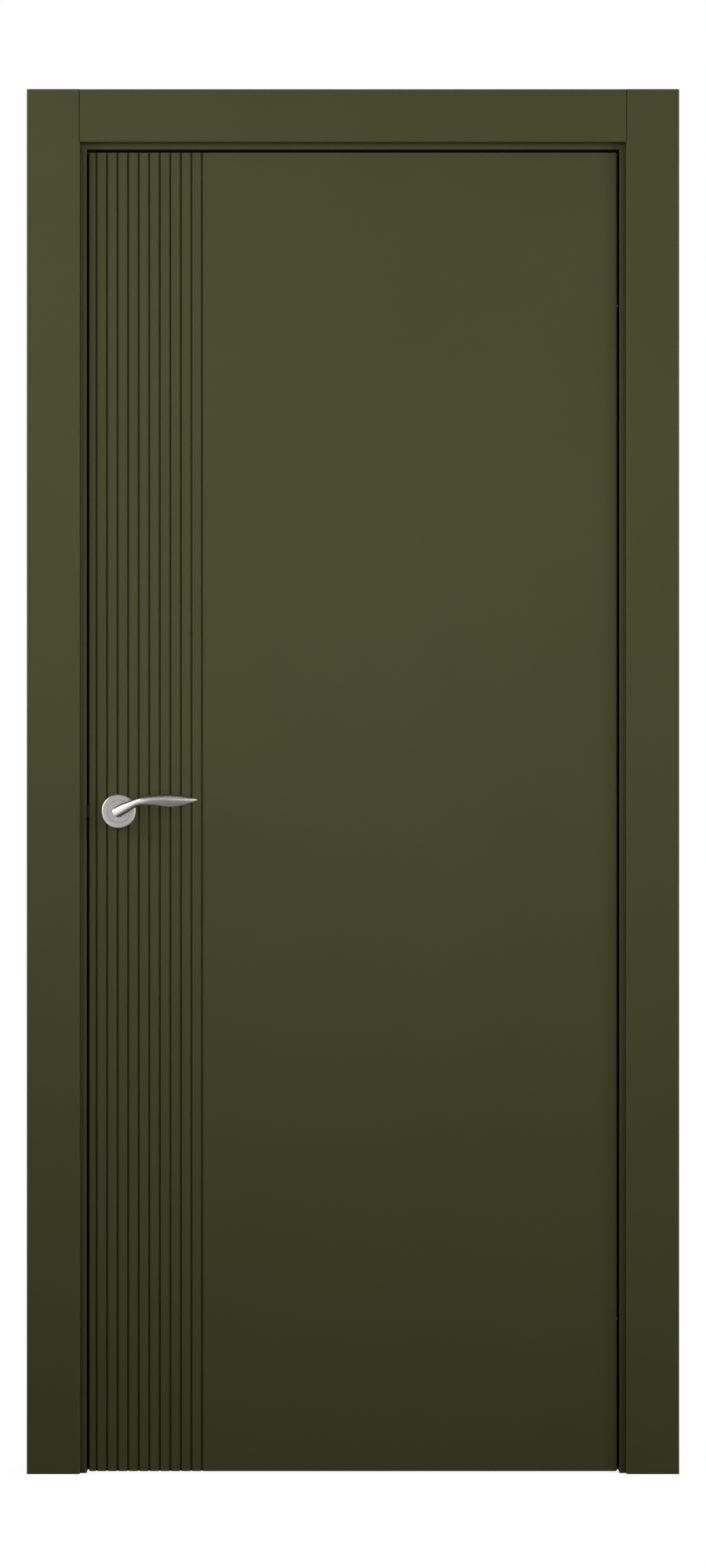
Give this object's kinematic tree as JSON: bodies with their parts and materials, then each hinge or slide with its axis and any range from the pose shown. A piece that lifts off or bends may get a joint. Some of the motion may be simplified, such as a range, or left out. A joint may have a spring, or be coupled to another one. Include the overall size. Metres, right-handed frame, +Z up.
{
  "type": "interior door",
  "caption": "Olive-green interior door set: leaf with a grooved strip beside its lever handle, rebated frame, flat architraves and concealed hinges",
  "frame": {"origin": "on the floor at the middle of the opening's width, in the mid plane of the closed leaf", "axes": "+X runs right along the wall towards the hinges, +Y runs back through the wall away from the side the leaf opens to, +Z runs up"},
  "size_m": [0.988, 0.1434, 2.098],
  "materials": {
    "olive_enamel": "satin enamel paint",
    "core_chipboard": "raw board",
    "seal_rubber": "matt",
    "satin_nickel": "satin",
    "black_nylon": "matt",
    "hinge_zinc": "powder coat",
    "plain_steel": "plated"
  },
  "bodies": {
    "frame": {"hinge_jamb": "olive_enamel", "lock_jamb": "olive_enamel", "head_jamb": "olive_enamel", "frame_corner_screws": "plain_steel", "hinge_jamb_seal": "seal_rubber", "lock_jamb_seal": "seal_rubber", "head_jamb_seal": "seal_rubber", "front_hinge_architrave": "olive_enamel", "front_lock_architrave": "olive_enamel", "front_head_architrave": "olive_enamel", "back_hinge_architrave": "olive_enamel", "back_lock_architrave": "olive_enamel", "back_head_architrave": "olive_enamel", "strike_plate": "satin_nickel", "strike_box": "black_nylon", "strike_screws": "plain_steel", "upper_jamb_hinge_housing": "hinge_zinc", "lower_jamb_hinge_housing": "hinge_zinc", "jamb_hinge_pins": "plain_steel", "jamb_hinge_screws": "plain_steel"},
    "leaf": {"front_facing": "olive_enamel", "back_facing": "olive_enamel", "lock_stile": "olive_enamel", "hinge_stile": "olive_enamel", "top_rail": "olive_enamel", "bottom_rail": "olive_enamel", "lock_block": "core_chipboard", "core_board": "core_chipboard", "latch_forend": "satin_nickel", "forend_screws": "plain_steel", "latch_case": "plain_steel", "latch_case_lid": "plain_steel", "upper_leaf_hinge_housing": "hinge_zinc", "lower_leaf_hinge_housing": "hinge_zinc", "leaf_hinge_pins": "plain_steel", "leaf_hinge_screws": "plain_steel", "front_rose_cover": "satin_nickel", "back_rose_cover": "satin_nickel", "front_rose_base": "black_nylon", "back_rose_base": "black_nylon", "front_lever_bush": "black_nylon", "back_lever_bush": "black_nylon", "rose_bolts": "plain_steel", "bolt_spring": "plain_steel"},
    "jamb_arms": {"upper_jamb_hinge_arm": "hinge_zinc", "lower_jamb_hinge_arm": "hinge_zinc", "jamb_arm_pins": "plain_steel"},
    "leaf_arms": {"upper_leaf_hinge_arm": "hinge_zinc", "lower_leaf_hinge_arm": "hinge_zinc", "leaf_arm_pins": "plain_steel"},
    "levers": {"front_lever": "satin_nickel", "back_lever": "satin_nickel", "spindle": "plain_steel", "lock_follower": "plain_steel", "lever_grub_screws": "plain_steel"},
    "latch": {"latch_bolt": "black_nylon"}
  },
  "joints": [
    {"name": "leaf_swing", "type": "hinge", "parent": "frame", "child": "leaf", "pos_m": [0.402, -0.021, 1], "axis": [0, 0, 1], "range_deg": [0, 90]},
    {"name": "jamb_arm_turn", "type": "hinge", "parent": "frame", "child": "jamb_arms", "pos_m": [0.4074, -0.008, 1], "axis": [0, 0, 1], "range_deg": [0, 90]},
    {"name": "leaf_arm_turn", "type": "hinge", "parent": "leaf", "child": "leaf_arms", "pos_m": [0.3966, -0.008, 1], "axis": [0, 0, 1], "range_deg": [-90, 0]},
    {"name": "lever_turn", "type": "hinge", "parent": "leaf", "child": "levers", "pos_m": [-0.355, 0, 1.004], "axis": [0, 1, 0], "range_deg": [0, 45], "stiffness_Nm_per_rad": 1.2, "springref_deg": -34.38},
    {"name": "latch_slide", "type": "slide", "parent": "leaf", "child": "latch", "axis": [1, 0, 0], "range_m": [0, 0.00919], "deforming": ["bolt_spring"]}
  ],
  "couplings": [
    {"joint": "jamb_arm_turn", "follows": "leaf_swing", "ratio": 1},
    {"joint": "leaf_arm_turn", "follows": "leaf_swing", "ratio": -1},
    {"joint": "latch_slide", "follows": "lever_turn", "m_per_rad": 0.011704}
  ]
}
